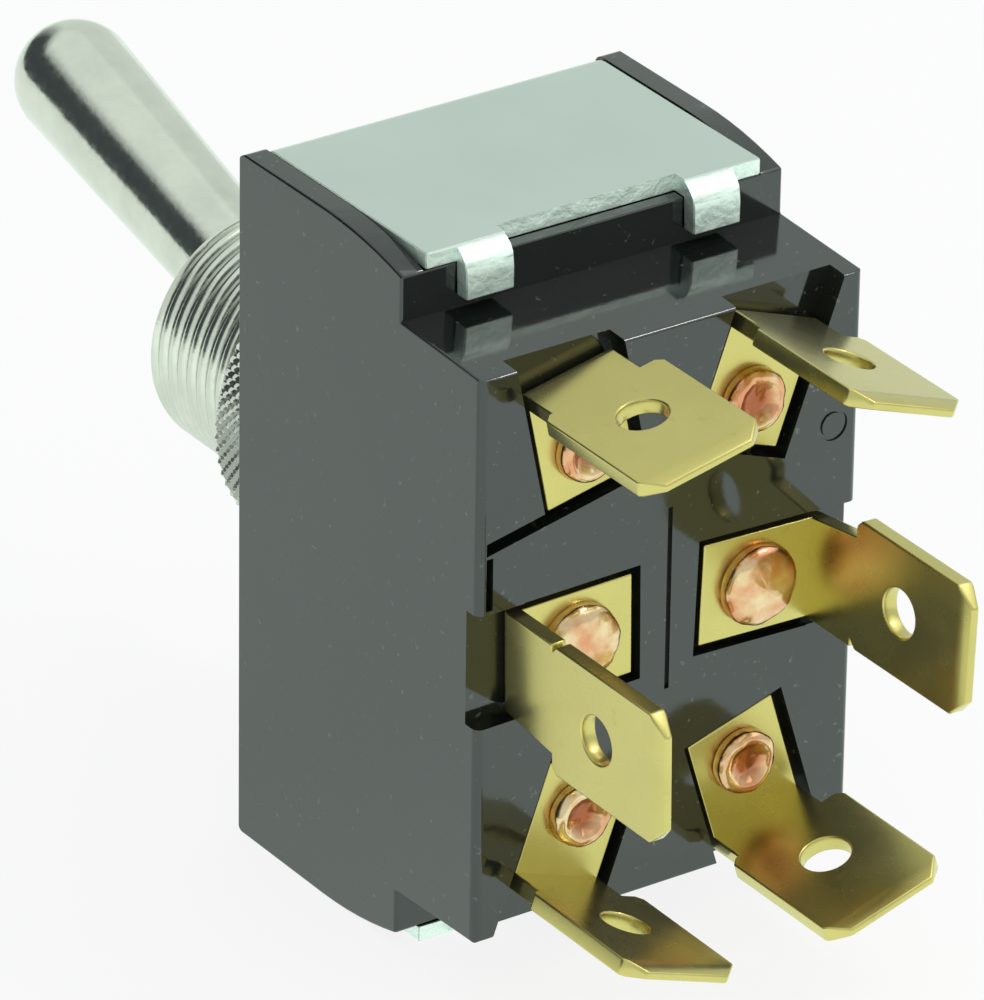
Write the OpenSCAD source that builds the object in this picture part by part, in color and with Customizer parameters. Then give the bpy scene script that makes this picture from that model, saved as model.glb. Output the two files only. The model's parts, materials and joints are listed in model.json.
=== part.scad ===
// Two-pole panel toggle switch with a bat lever, a threaded bushing
// and six blade terminals. The lever's axis is Y, the long side is Z.

/* [Housing] */
// Width of the moulded case
case_w = 20.2; // [20:0.1:24]
// Length of the case over its ears, at the front
case_l = 34.2; // [33.8:0.1:40]
// Depth of the case behind the panel side
case_d = 19.1; // [18.6:0.1:24]
// Depth at which both ends step inward
step_y = 12.9; // [12:0.1:13.2]
// Length of the case just behind the step
rear_l = 28.2; // [27.8:0.1:28.8]
// Taper of each end between the step and the rear face
rear_taper = 0.25; // [0:0.05:0.5]
// Thickness of each ear beside the steel frame
ear_t = 1.15; // [0.9:0.05:1.4]
// How far an ear's edge falls towards the step
ear_fall = 0.8; // [0.4:0.05:0.8]
// Thickness of the side and end walls
wall = 1.6; // [1.2:0.1:1.7]
// Thickness of the rear wall
rear_wall = 2.8; // [2.6:0.1:3.4]
// Thickness of the partition between the poles
web_t = 1.2; // [0.8:0.1:1.6]
// Radius of the case's long rear edges
edge_r = 0.4; // [0.2:0.1:0.6]

/* [Steel frame] */
// Thickness of the frame's steel
plate_t = 0.8; // [0.6:0.1:0.9]
// Outer radius of the frame's front bends
bend_r = 1.0; // [0.9:0.1:1.4]
// Width of one crimped tab
tab_w = 2.5; // [2:0.1:2.8]
// Distance between the centres of one leg's tabs
tab_pitch = 12.0; // [11:0.1:12.8]
// Length of a tab, down from the outside of its leg
tab_l = 2.4; // [2.0:0.1:2.7]
// Outer radius of a tab's bend
tab_r = 1.3; // [0.9:0.1:1.4]

/* [Bushing] */
// Major diameter of the bushing's thread
thread_d = 11.9; // [11.8:0.1:12.2]
// Pitch of the thread
thread_pitch = 0.794; // [0.7:0.01:0.85]
// Length of the bushing in front of the frame
bush_l = 14.2; // [13.2:0.1:18]
// Inner radius of the lever's mouth
mouth_r = 4.75; // [4.7:0.05:4.9]
// Width of the keyway
key_w = 1.8; // [1.4:0.1:2.2]
// Depth of the keyway
key_d = 0.7; // [0.5:0.05:0.75]

/* [Nuts] */
// Width of the hexagon nut across its flats
hex_af = 14.3; // [14:0.1:16]
// Thickness of the hexagon nut
hex_t = 2.4; // [2:0.1:2.8]
// Diameter of the lock washer
washer_d = 15.1; // [14.6:0.1:16]
// Thickness of the lock washer
washer_t = 0.6; // [0.4:0.1:0.8]
// Number of the lock washer's inner teeth
washer_teeth = 12; // [8:1:14]
// Diameter of the knurled ring nut
ring_d = 15.1; // [14.6:0.1:17]
// Thickness of the knurled ring nut
ring_t = 3.05; // [2.4:0.05:3.4]

/* [Lever] */
// Distance of the lever's pivot in front of the frame's face
pivot_in = 7.8; // [7.6:0.1:8]
// Distance from the pivot to the end of the lever
lever_l = 25.65; // [22:0.05:32]
// Radius of the lever's round end
tip_r = 2.9; // [2.6:0.1:3.6]
// Radius of the lever where it leaves the bushing
waist_r = 2.5; // [2.2:0.1:2.5]
// Radius of the lever's ball
ball_r = 3.9; // [3.8:0.05:3.95]
// Radius of the lever's shank inside the case
shank_r = 1.6; // [1.4:0.05:1.65]
// Tilt of the lever each way from the middle, in degrees
throw = 16; // [12:0.5:16]
// Radius of the lever's pin
pin_r = 0.75; // [0.6:0.05:0.8]

/* [Contacts] */
// Distance between the two poles
pole_pitch = 9.1; // [9:0.1:9.6]
// Distance from the middle to a corner contact
contact_z = 9.0; // [8.8:0.1:9.2]
// Width of a rocker
rocker_w = 4.2; // [3.6:0.1:4.6]
// Thickness of a rocker
rocker_t = 0.9; // [0.7:0.05:0.95]
// Slope of a rocker's inner arms, in degrees
rocker_slope = 18; // [17:0.5:19]
// Radius of the ridge a rocker turns on
ridge_r = 0.5; // [0.4:0.05:0.55]
// Diameter of a moving contact
moving_d = 3.0; // [2.4:0.1:3.6]
// Thickness of a moving contact
moving_t = 0.5; // [0.3:0.05:0.6]
// Diameter of a fixed contact
fixed_d = 3.2; // [2.6:0.1:3.8]
// Height of a fixed contact
fixed_t = 1.0; // [0.7:0.05:1.1]
// Radius of a plunger
plunger_r = 1.75; // [1.65:0.05:1.9]
// Wire diameter of a plunger's spring
wire_d = 0.35; // [0.25:0.05:0.4]
// Number of turns of a plunger's spring
spring_turns = 8; // [6:1:9]

/* [Terminals] */
// Width of a terminal's blade
blade_w = 6.35; // [5.8:0.05:6.35]
// Thickness of a terminal
blade_t = 0.8; // [0.6:0.05:0.8]
// How far a corner blade stands behind the case
corner_out = 9.5; // [8:0.1:12]
// How far a middle blade stands behind the case
middle_out = 11.5; // [9:0.1:14]
// Diameter of a blade's hole
blade_hole = 2.3; // [1.6:0.1:2.6]
// Distance from a blade's end to the middle of its hole
hole_back = 4.9; // [3.6:0.1:5.4]
// Width of a corner terminal's foot
corner_foot_w = 4.77; // [4.4:0.01:5]
// Width of a middle terminal's foot
middle_foot_w = 4.97; // [4.6:0.01:5.2]
// Distance of the corner rivets from the middle plane
corner_x = 4.4; // [4.2:0.05:4.6]
// Distance of the middle rivets from the middle plane
middle_x = 4.77; // [4.6:0.01:4.9]
// Height of the corner blades' shoulders over the foot
corner_shoulder = 1.85; // [1.2:0.05:3]
// Height of the middle blades' shoulders over the foot
middle_shoulder = 3.3; // [2:0.1:4]
// Diameter of a middle rivet's head
big_head_d = 3.9; // [3.4:0.1:4.2]
// Diameter of a corner rivet's head
small_head_d = 3.1; // [2.8:0.1:3.4]

/* [Hidden] */
$fn = 64;

// small clearances that the fits share
seat = 0.05;
run = 0.05;

ear_half = case_l / 2;
leg_out = ear_half;
leg_in = leg_out - plate_t;
block_half = leg_in - seat;
leg_half_w = case_w / 2 - ear_t - 0.1;
gap_half_w = case_w / 2 - ear_t;
block_y = plate_t + seat;
rear_half = rear_l / 2;
ear_flat_y = 7;
ear_corner_r = 0.6;
inner_y = case_d - rear_wall;
cav_half_w = case_w / 2 - wall;
cav_half_l = block_half - wall;
cav_rear_l = rear_half - wall;
cav_step_y = step_y - wall;

tab_face = step_y + seat + plate_t;
// a tab reaches down its own length, or as far as the rear block lets it
tab_tip = max(leg_out - tab_l, rear_half + 0.1);
tab_bend = min(tab_r, leg_out - tab_tip - 0.05);
wing_y = step_y + seat;
leg_edge_y = step_y - 0.7;

thread_r = thread_d / 2;
fit_r = thread_r - 0.34 * thread_pitch;
tenon_r = fit_r - 0.43;
plate_hole_r = tenon_r + 0.05;
stake_r = tenon_r + 0.5;
stake_h = 0.5;
bore_r = ball_r + 0.1;
throat_r = ball_r - 0.3;
nut_gap = 0.05;
hex_y = -nut_gap;
washer_y = hex_y - hex_t - nut_gap;
ring_y = washer_y - washer_t - nut_gap;
free_y = ring_y - ring_t - nut_gap;
nut_bore_r = fit_r + 0.04;
pin_half_l = bore_r + 0.85;
slot_half_l = pin_half_l + 0.1;

rock = throw / 2;
pole_x = pole_pitch / 2;
fixed_face = inner_y - fixed_t;
base_t = 0.6;
rock_y = fixed_face - 1.3;
close_gap = 0.04;
pad_mid_y = fixed_face - close_gap - moving_t - rocker_t / 2;
pad_y = (pad_mid_y - rock_y - contact_z * sin(rock)) / cos(rock);
pad_half = max(moving_d, fixed_d) / 2;
ball_tip_r = plunger_r - 0.05;
tip_back = rock_y + pivot_in - 3.3;
vertex_gap = 0.48;
vertex_y = tip_back - pivot_in - rock_y + (ball_tip_r + vertex_gap) / cos(rocker_slope);
arm_z = 4.9;
plunger_travel = 1.0;
// the actuator starts clear of the bushing's staked rim at full tilt
act_gap = 1.5;
tube_floor_t = 1.2;
plunger_out = 1.2;
act_face = pivot_in + plate_t + stake_h + act_gap;
tube_floor = act_face + tube_floor_t;
tube_mouth = tip_back - plunger_out;
act_back = tube_mouth - 1.7;
tube_bore_r = plunger_r + 0.07;
tube_r = tube_bore_r + 0.7;
act_half_t = tube_r + 0.08;
shank_end = act_back - 0.4;
cup_start = tube_floor + plunger_travel + 0.2;
cup_end = tip_back - 0.9;
cup_r = plunger_r - 0.6;
coil_r = cup_r - wire_d / 2 - 0.12;
// the partition starts behind the actuator's sweep
web_y = -pivot_in + act_back * cos(throw) + act_half_t * sin(throw) + 0.49;

corner_in = 2.19;
corner_bend = 3.11;
middle_in = 2.93;
middle_bend = 2.86;
pocket_gap = 0.35;
corner_face = case_d - 0.35;
middle_face = case_d - 0.1;
corner_floor = corner_face - blade_t;
middle_floor = middle_face - blade_t;
rivet_r = 1.0;
rivet_hole_r = rivet_r + 0.03;
notch_half = 2.8;
groove_d = 1.0;
// length at which every pocket has left the case
run_out = case_w / 2;

// where each terminal stands: X, Z and the turn of its foot about Y
place_lt = [corner_x, contact_z, 12];
place_lm = [middle_x, -0.3, 91];
place_lb = [corner_x, -contact_z, 160];
place_rt = [-corner_x, contact_z, -20];
place_rm = [-middle_x, -0.1, -92];
place_rb = [-corner_x, -contact_z, -163];
CORNERS = [place_lt, place_lb, place_rt, place_rb];
MIDDLES = [place_lm, place_rm];

// 2-D points of an arc about c, from angle a0 to a1
function arc(c, r, a0, a1, n = 6) =
    [for (i = [0:n]) let (a = a0 + (a1 - a0) * i / n) [c[0] + r * cos(a), c[1] + r * sin(a)]];
function flip(p) = [for (i = [len(p) - 1:-1:0]) [p[i][0], -p[i][1]]];

// a (Y, Z) outline extruded along X, centred
module along_x(w) {
    translate([-w / 2, 0, 0])
        rotate([90, 0, 90])
            linear_extrude(w)
                children();
}

// a (X, Z) outline extruded along Y
module along_y(y0, y1) {
    translate([0, y1, 0])
        rotate([90, 0, 0])
            linear_extrude(y1 - y0)
                children();
}

// a solid made along +Z, laid along +Y
module lay() {
    rotate([-90, 0, 0])
        children();
}

module box(x0, x1, y0, y1, z0, z1) {
    translate([x0, y0, z0])
        cube([x1 - x0, y1 - y0, z1 - z0]);
}

// the local frame of a terminal: foot outward is +Z, foot width is X
module at_terminal(p) {
    translate([p[0], 0, p[1]])
        rotate([0, p[2], 0])
            children();
}

// the lever's own frame: pivot at the origin, tip towards -Y
module at_lever() {
    translate([0, -pivot_in, 0])
        rotate([-throw, 0, 0])
            children();
}

// a rocker's own frame: pivot at the origin
module at_rocker(s) {
    translate([s * pole_x, rock_y, 0])
        rotate([rock, 0, 0])
            children();
}

// ---- housing ----
module case_side() {
    span = step_y - ear_flat_y;
    front = arc([ear_corner_r, ear_half - ear_corner_r], ear_corner_r, 180, 90);
    edge = [for (i = [0:6]) [ear_flat_y + span * i / 6, ear_half - ear_fall * pow(i / 6, 2)]];
    rear = [[step_y, rear_half], [case_d, rear_half - rear_taper]];
    top = concat(front, edge, rear);
    polygon(concat(top, flip(top)));
}

module case_plan() {
    h = case_w / 2;
    right = concat(arc([case_d - edge_r, h - edge_r], edge_r, 0, 90, 5), [[0, h]]);
    rotate(90)
        polygon(concat(right, flip(right)));
}

module island_groove() {
    p = place_lt;
    rim = case_w / 2 - 0.4;
    y0 = case_d - groove_d;
    intersection() {
        at_terminal(p)
            box(0, run_out, y0, case_d + 1, -corner_in - pocket_gap, -corner_in + 0.25);
        box(0, rim, 0, case_d + 2, 0, contact_z);
    }
    box(rim - 0.35, rim, y0, case_d + 1, notch_half - 0.2, contact_z - 3.85);
}

module pockets() {
    for (p = CORNERS)
        at_terminal(p)
            box(-corner_foot_w / 2 - pocket_gap, corner_foot_w / 2 + pocket_gap,
                corner_floor, case_d + 1, -corner_in - pocket_gap, run_out);
    for (p = MIDDLES)
        at_terminal(p) {
            box(-middle_foot_w / 2 - pocket_gap, middle_foot_w / 2 + pocket_gap,
                middle_floor, case_d + 1, -middle_in - pocket_gap, middle_bend);
            box(-notch_half, notch_half, middle_floor, case_d + 1, 0, run_out);
        }
    for (p = concat(CORNERS, MIDDLES))
        translate([p[0], inner_y - 1, p[1]])
            lay()
                cylinder(r = rivet_hole_r, h = rear_wall + 2);
}

module housing() {
    big = case_l;
    color([0.07, 0.08, 0.085])
    difference() {
        intersection() {
            along_x(case_w)
                case_side();
            translate([0, 0, -big / 2])
                linear_extrude(big)
                    case_plan();
        }
        // the frame's plate and legs lie between the ears
        box(-gap_half_w, gap_half_w, -1, block_y, -big, big);
        for (s = [-1, 1])
            translate([0, 0, s * (block_half + big / 2)])
                box(-gap_half_w, gap_half_w, -1, case_d + 1, -big / 2, big / 2);
        for (s = [-1, 1])
            along_x(2 * gap_half_w)
                polygon([[block_y - 0.1, s * (block_half - 0.4)],
                    [block_y + 0.4, s * (block_half + 0.1)],
                    [block_y - 0.1, s * (block_half + 0.1)]]);
        // the cavity, with a partition between the poles
        box(-cav_half_w, cav_half_w, 0, web_y, -cav_half_l, cav_half_l);
        for (s = [-1, 1])
            translate([s * (cav_half_w + web_t / 2) / 2, 0, 0]) {
                h = (cav_half_w - web_t / 2) / 2;
                box(-h, h, web_y - 1, cav_step_y, -cav_half_l, cav_half_l);
                box(-h, h, web_y - 1, inner_y, -cav_rear_l, cav_rear_l);
            }
        pockets();
        island_groove();
        // parting line and ejector mark on the rear face
        box(-0.12, 0.12, case_d - 0.2, case_d + 1, -4, 5);
        translate([1.4 - case_w / 2, case_d - 0.08, contact_z - 2.4])
            lay()
                difference() {
                    cylinder(r = 0.75, h = 1, $fn = 24);
                    translate([0, 0, -1])
                        cylinder(r = 0.6, h = 3, $fn = 24);
                }
    }
}

// ---- steel frame ----
module frame_side() {
    ri = bend_r - plate_t;
    outer = concat([[wing_y, leg_out]],
        arc([bend_r, leg_out - bend_r], bend_r, 90, 180));
    inner = concat([[wing_y, leg_in]],
        arc([bend_r, leg_out - bend_r], ri, 90, 180));
    polygon(concat(outer, flip(outer), [for (p = inner) [p[0], -p[1]]],
        [for (i = [len(inner) - 1:-1:0]) inner[i]]));
}

module tab_side() {
    c = [tab_face - tab_bend, leg_out - tab_bend];
    polygon(concat([[leg_edge_y - 0.3, leg_in], [leg_edge_y - 0.3, leg_out]],
        arc(c, tab_bend, 90, 0),
        [[tab_face, tab_tip], [wing_y, tab_tip], [wing_y, leg_in]]));
}

module frame_bracket() {
    free_half = tab_pitch / 2 - tab_w / 2;
    color([0.71, 0.78, 0.76])
    difference() {
        union() {
            along_x(2 * leg_half_w)
                frame_side();
            for (x = [-1, 1], s = [0, 1])
                mirror([0, 0, s])
                    translate([x * tab_pitch / 2, 0, 0])
                        along_x(tab_w)
                            tab_side();
        }
        box(-free_half, free_half, leg_edge_y, case_d, -case_l, case_l);
        translate([0, -1, 0])
            lay()
                cylinder(r = plate_hole_r, h = plate_t + 2);
    }
}

// ---- bushing and nuts ----
module bushing() {
    c = 0.4;
    color([0.75, 0.74, 0.70])
    difference() {
        lay()
            rotate_extrude()
                polygon([[throat_r, -pivot_in - 2.4], [mouth_r, -bush_l],
                    [thread_r - c, -bush_l], [thread_r, -bush_l + c],
                    [thread_r, free_y - 0.2], [fit_r, free_y],
                    [fit_r, 0], [tenon_r, 0], [tenon_r, plate_t],
                    [stake_r, plate_t], [stake_r, plate_t + stake_h - 0.2],
                    [stake_r - 0.4, plate_t + stake_h],
                    [bore_r + 0.6, plate_t + stake_h], [bore_r, -2], [bore_r, -pivot_in - 0.8]]);
        // the pin drops in from behind and rests in two round seats
        box(-slot_half_l, slot_half_l, -pivot_in, 3, -pin_r - run, pin_r + run);
        translate([-slot_half_l, -pivot_in, 0])
            rotate([0, 90, 0])
                cylinder(r = pin_r + run, h = 2 * slot_half_l);
        box(-key_w / 2, key_w / 2, -bush_l - 1, free_y - 0.6, -thread_r - 1, -thread_r + key_d);
    }
}

// the chamfered hole of a nut whose far face is at -t
module nut_hole(t) {
    translate([0, 0, -t - 1])
        cylinder(r = nut_bore_r, h = t + 2);
    translate([0, 0, -0.4])
        cylinder(r1 = nut_bore_r, r2 = nut_bore_r + 0.5, h = 0.5);
    translate([0, 0, -t - 0.1])
        cylinder(r1 = nut_bore_r + 0.5, r2 = nut_bore_r, h = 0.5);
}

module hex_nut() {
    corner = hex_af / 2 / cos(30);
    drop = 0.35;
    color([0.74, 0.74, 0.71])
    translate([0, hex_y, 0])
        lay()
            difference() {
                intersection() {
                    translate([0, 0, -hex_t])
                        cylinder(r = corner, h = hex_t, $fn = 6);
                    translate([0, 0, -hex_t])
                        cylinder(r1 = hex_af / 2 + 0.1, r2 = hex_af / 2 + 0.1 + hex_t / tan(25),
                            h = hex_t);
                    translate([0, 0, -hex_t - drop])
                        cylinder(r1 = hex_af / 2 + 0.1 + (hex_t + drop) / tan(25),
                            r2 = hex_af / 2 + 0.1, h = hex_t + drop);
                }
                nut_hole(hex_t);
            }
}

module lock_washer() {
    color([0.62, 0.62, 0.60])
    translate([0, washer_y, 0])
        lay()
            translate([0, 0, -washer_t])
                linear_extrude(washer_t)
                    difference() {
                        circle(d = washer_d);
                        circle(r = thread_r + 0.1);
                        for (i = [0:washer_teeth - 1])
                            rotate(i * 360 / washer_teeth)
                                translate([thread_r - 0.5, -0.7])
                                    square([1.3, 1.4]);
                    }
}

module ring_nut() {
    c = 0.3;
    r = ring_d / 2;
    color([0.76, 0.75, 0.71])
    translate([0, ring_y, 0])
        lay()
            difference() {
                rotate_extrude()
                    polygon([[nut_bore_r - 1, 0], [r - c, 0], [r, -c], [r, c - ring_t],
                        [r - c, -ring_t], [nut_bore_r - 1, -ring_t]]);
                nut_hole(ring_t);
            }
}

// ---- lever ----
module lever() {
    ball_c = lever_l - tip_r;
    neck_r = waist_r - 0.15;
    neck = sqrt(ball_r * ball_r - neck_r * neck_r) - 0.3;
    waist = 6.6;
    color([0.74, 0.72, 0.68])
    at_lever()
        difference() {
            lay()
                union() {
                    translate([0, 0, -ball_c])
                        sphere(r = tip_r);
                    translate([0, 0, -ball_c])
                        cylinder(r1 = tip_r, r2 = waist_r, h = ball_c - waist);
                    translate([0, 0, -waist])
                        cylinder(r1 = waist_r, r2 = neck_r, h = waist - neck);
                    sphere(r = ball_r);
                    cylinder(r = shank_r, h = shank_end);
                }
            translate([-ball_r - 1, 0, 0])
                rotate([0, 90, 0])
                    cylinder(r = pin_r + 0.01, h = 2 * ball_r + 2);
        }
}

module lever_pin() {
    color([0.70, 0.71, 0.72])
    at_lever()
        translate([-pin_half_l, 0, 0])
            rotate([0, 90, 0])
                cylinder(r = pin_r, h = 2 * pin_half_l);
}

module actuator() {
    color([0.86, 0.84, 0.76])
    at_lever()
        difference() {
            union() {
                box(-pole_x, pole_x, act_face, act_back, -act_half_t, act_half_t);
                for (s = [-1, 1])
                    translate([s * pole_x, act_face, 0])
                        lay()
                            cylinder(r = tube_r, h = tube_mouth - act_face);
            }
            translate([0, act_face - 1, 0])
                lay()
                    cylinder(r = shank_r + 0.05, h = tip_back);
            for (s = [-1, 1])
                translate([s * pole_x, tube_floor, 0])
                    lay()
                        cylinder(r = tube_bore_r, h = tip_back);
        }
}

module plunger(s) {
    color([0.84, 0.85, 0.83])
    at_lever()
        translate([s * pole_x, 0, 0])
            lay()
                difference() {
                    union() {
                        translate([0, 0, cup_start])
                            cylinder(r = plunger_r, h = tip_back - cup_start);
                        translate([0, 0, tip_back])
                            sphere(r = ball_tip_r);
                    }
                    translate([0, 0, cup_start - 1])
                        cylinder(r = cup_r, h = cup_end - cup_start + 1);
                }
}

// a round wire wound from the tube's floor to the plunger's cup
module spring(s) {
    sides = 6;
    per = 12;
    n = spring_turns * per;
    z0 = tube_floor + wire_d / 2 + 0.02;
    z1 = cup_end - wire_d / 2 - 0.02;
    rise = z1 - z0;
    pts = [for (i = [0:n]) let (a = 360 * i / per, z = z0 + rise * i / n)
        for (k = [0:sides - 1]) let (b = 360 * k / sides, q = coil_r + wire_d / 2 * cos(b))
            [q * cos(a), q * sin(a), z + wire_d / 2 * sin(b)]];
    side = [for (i = [0:n - 1], k = [0:sides - 1]) let (m = (k + 1) % sides)
        [i * sides + k, i * sides + m, (i + 1) * sides + m, (i + 1) * sides + k]];
    first = [for (k = [sides - 1:-1:0]) k];
    last = [for (k = [0:sides - 1]) n * sides + k];
    color([0.66, 0.67, 0.68])
    at_lever()
        translate([s * pole_x, 0, 0])
            lay()
                polyhedron(points = pts, faces = concat(side, [first, last]), convexity = 8);
}

// ---- contacts ----
module rocker(s) {
    t = rocker_t / cos(rocker_slope);
    peak = vertex_y - arm_z * tan(rocker_slope);
    tr = tan(rock);
    z1 = contact_z - pad_half - 0.1;
    z2 = contact_z + pad_half;
    half = rocker_t / 2 / cos(rock);
    front = [[vertex_y, 0], [peak, arm_z], [pad_y + (contact_z - z1) * tr - half, z1],
        [pad_y + (contact_z - z2) * tr - half, z2]];
    back = [[pad_y + (contact_z - z2) * tr + half, z2], [pad_y + (contact_z - z1) * tr + half, z1],
        [peak + t, arm_z - 0.1], [vertex_y + t, 0]];
    up = concat(front, back);
    color([0.72, 0.45, 0.30])
    at_rocker(s)
        difference() {
            along_x(rocker_w)
                polygon(concat(front, back, [for (i = [2:-1:0]) [back[i][0], -back[i][1]]],
                    [for (i = [3:-1:1]) [front[i][0], -front[i][1]]]));
            translate([-rocker_w, 0, 0])
                rotate([0, 90, 0])
                    cylinder(r = ridge_r + run, h = 2 * rocker_w);
        }
}

// a contact button on a rocker's arm; e is 1 at the top, -1 at the bottom
module moving_contact(s, e) {
    color([0.85, 0.85, 0.84])
    at_rocker(s)
        translate([0, pad_y, e * contact_z])
            rotate([e * rock, 0, 0])
                translate([0, rocker_t / 2, 0])
                    lay()
                        cylinder(d = moving_d, h = moving_t);
}

module cradle(s) {
    color([0.66, 0.58, 0.30])
    translate([s * pole_x, 0, 0])
        union() {
            box(-rocker_w / 2, rocker_w / 2, inner_y - base_t, inner_y, -2.3, 2.3);
            along_x(rocker_w)
                polygon([[rock_y, -ridge_r * 0.9], [rock_y, ridge_r * 0.9],
                    [inner_y - base_t / 2, 1.2], [inner_y - base_t / 2, -1.2]]);
            translate([-rocker_w / 2, rock_y, 0])
                rotate([0, 90, 0])
                    cylinder(r = ridge_r, h = rocker_w);
        }
}

module fixed_contact(p) {
    color([0.83, 0.83, 0.81])
    translate([p[0], fixed_face, p[1]])
        lay()
            cylinder(d = fixed_d, h = fixed_t);
}

// ---- rivets and terminals ----
module rivet(p, face, d, dished) {
    r = d / 2;
    dome = [[0, 1.0], [r * 0.55, 0.93], [r * 0.85, 0.72], [r, 0.45], [r, 0]];
    dish = [[0, 0.35], [r * 0.45, 0.45], [r * 0.68, 0.75], [r * 0.86, 0.7], [r, 0.45], [r, 0]];
    color([0.80, 0.55, 0.43])
    translate([p[0], 0, p[1]])
        lay()
            union() {
                translate([0, 0, inner_y])
                    cylinder(r = rivet_r, h = face - inner_y + 0.2);
                translate([0, 0, face])
                    rotate_extrude()
                        polygon(concat([[0, 0]], dished ? dish : dome));
            }
}

// an L of flat brass: the foot lies in its pocket, the blade stands behind.
// grow is how far the neck has widened at the shoulder, shift moves the blade across.
module terminal(p, face, inward, bend, foot_w, tip, shoulder, grow, shift) {
    t = blade_t;
    h = foot_w / 2;
    x0 = shift - blade_w / 2;
    x1 = shift + blade_w / 2;
    ys = face + shoulder;
    c = 0.9;
    e = 0.35;
    outline = [[-h, face - t], [h, face - t], [h, face], [h + grow, ys],
        [x1 - e, ys], [x1, ys + e], [x1, tip - c], [x1 - c, tip],
        [x0 + c, tip], [x0, tip - c], [x0, ys + e], [x0 + e, ys],
        [-h, ys], [-h, face]];
    color([0.72, 0.66, 0.33])
    at_terminal(p)
        difference() {
            union() {
                box(-h, h, face - t, face, -inward, bend + t);
                translate([0, 0, bend])
                    linear_extrude(t)
                        polygon(outline);
            }
            // the round outside of the bend
            difference() {
                box(-h - 1, h + 1, face - t - 1, face, bend, bend + t + 1);
                translate([-h - 2, face, bend])
                    rotate([0, 90, 0])
                        cylinder(r = t, h = foot_w + 4);
            }
            translate([shift, tip - hole_back, bend - 1])
                cylinder(d = blade_hole, h = t + 2);
            translate([0, face - t - 1, 0])
                lay()
                    cylinder(r = rivet_hole_r, h = t + 2);
            // both faces are bevelled at the end
            for (k = [0, 1])
                translate([shift, tip, bend + t / 2])
                    mirror([0, 0, k])
                        translate([0, 0.01, t / 2 + 0.01])
                            rotate([0, 90, 0])
                                linear_extrude(blade_w + 2, center = true)
                                    polygon([[0, 0], [0, -0.8], [0.24, 0]]);
        }
}

module corner_terminal(p, side) {
    terminal(p, corner_face, corner_in, corner_bend, corner_foot_w,
        case_d + corner_out, corner_shoulder, 0, side * 0.3);
}

module middle_terminal(p) {
    grow = 0.45;
    terminal(p, middle_face, middle_in, middle_bend, middle_foot_w,
        case_d + middle_out, middle_shoulder, grow, (blade_w - middle_foot_w) / 2);
}

housing();
frame_bracket();
bushing();
hex_nut();
lock_washer();
ring_nut();
lever();
lever_pin();
actuator();
plunger(1);  // plunger_left
plunger(-1);  // plunger_right
spring(1);  // spring_left
spring(-1);  // spring_right
rocker(1);  // rocker_left
rocker(-1);  // rocker_right
moving_contact(1, 1);  // moving_contact_left_top
moving_contact(1, -1);  // moving_contact_left_bottom
moving_contact(-1, 1);  // moving_contact_right_top
moving_contact(-1, -1);  // moving_contact_right_bottom
cradle(1);  // cradle_left
cradle(-1);  // cradle_right
fixed_contact(place_lt);  // fixed_contact_left_top
fixed_contact(place_lb);  // fixed_contact_left_bottom
fixed_contact(place_rt);  // fixed_contact_right_top
fixed_contact(place_rb);  // fixed_contact_right_bottom
rivet(place_lt, corner_face, small_head_d, true);  // rivet_left_top
rivet(place_lm, middle_face, big_head_d, false);  // rivet_left_middle
rivet(place_lb, corner_face, small_head_d, true);  // rivet_left_bottom
rivet(place_rt, corner_face, small_head_d, true);  // rivet_right_top
rivet(place_rm, middle_face, big_head_d, false);  // rivet_right_middle
rivet(place_rb, corner_face, small_head_d, true);  // rivet_right_bottom
corner_terminal(place_lt, -1);  // terminal_left_top
middle_terminal(place_lm);  // terminal_left_middle
corner_terminal(place_lb, 1);  // terminal_left_bottom
corner_terminal(place_rt, -1);  // terminal_right_top
middle_terminal(place_rm);  // terminal_right_middle
corner_terminal(place_rb, 1);  // terminal_right_bottom
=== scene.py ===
"""Panel toggle switch: bat lever, threaded bushing, black case in a steel frame, six blades."""

import json
import math

import bmesh
import bpy
from mathutils import Matrix, Vector


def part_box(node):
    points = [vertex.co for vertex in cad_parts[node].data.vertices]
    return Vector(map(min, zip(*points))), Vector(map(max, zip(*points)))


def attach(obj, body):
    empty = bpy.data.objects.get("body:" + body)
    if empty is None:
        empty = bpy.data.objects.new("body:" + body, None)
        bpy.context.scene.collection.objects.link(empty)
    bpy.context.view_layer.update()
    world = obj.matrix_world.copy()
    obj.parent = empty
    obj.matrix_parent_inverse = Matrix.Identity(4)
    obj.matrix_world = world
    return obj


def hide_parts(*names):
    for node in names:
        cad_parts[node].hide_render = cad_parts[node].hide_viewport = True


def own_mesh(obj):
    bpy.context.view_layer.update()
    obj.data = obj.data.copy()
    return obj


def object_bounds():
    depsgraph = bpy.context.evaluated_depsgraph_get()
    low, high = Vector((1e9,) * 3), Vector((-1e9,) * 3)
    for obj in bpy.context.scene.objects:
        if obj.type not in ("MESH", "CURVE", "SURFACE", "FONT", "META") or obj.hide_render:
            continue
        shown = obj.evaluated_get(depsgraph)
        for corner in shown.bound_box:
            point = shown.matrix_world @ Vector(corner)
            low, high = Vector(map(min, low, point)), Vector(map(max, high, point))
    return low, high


bl_info = {
    "name": "Panel Toggle Switch",
    "version": (1, 0, 0),
    "blender": (4, 5, 0),
    "location": "View3D > Sidebar > Switch",
    "description": "Builds the dressed pieces of a panel toggle switch around its frame",
    "category": "Add Mesh",
}

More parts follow.
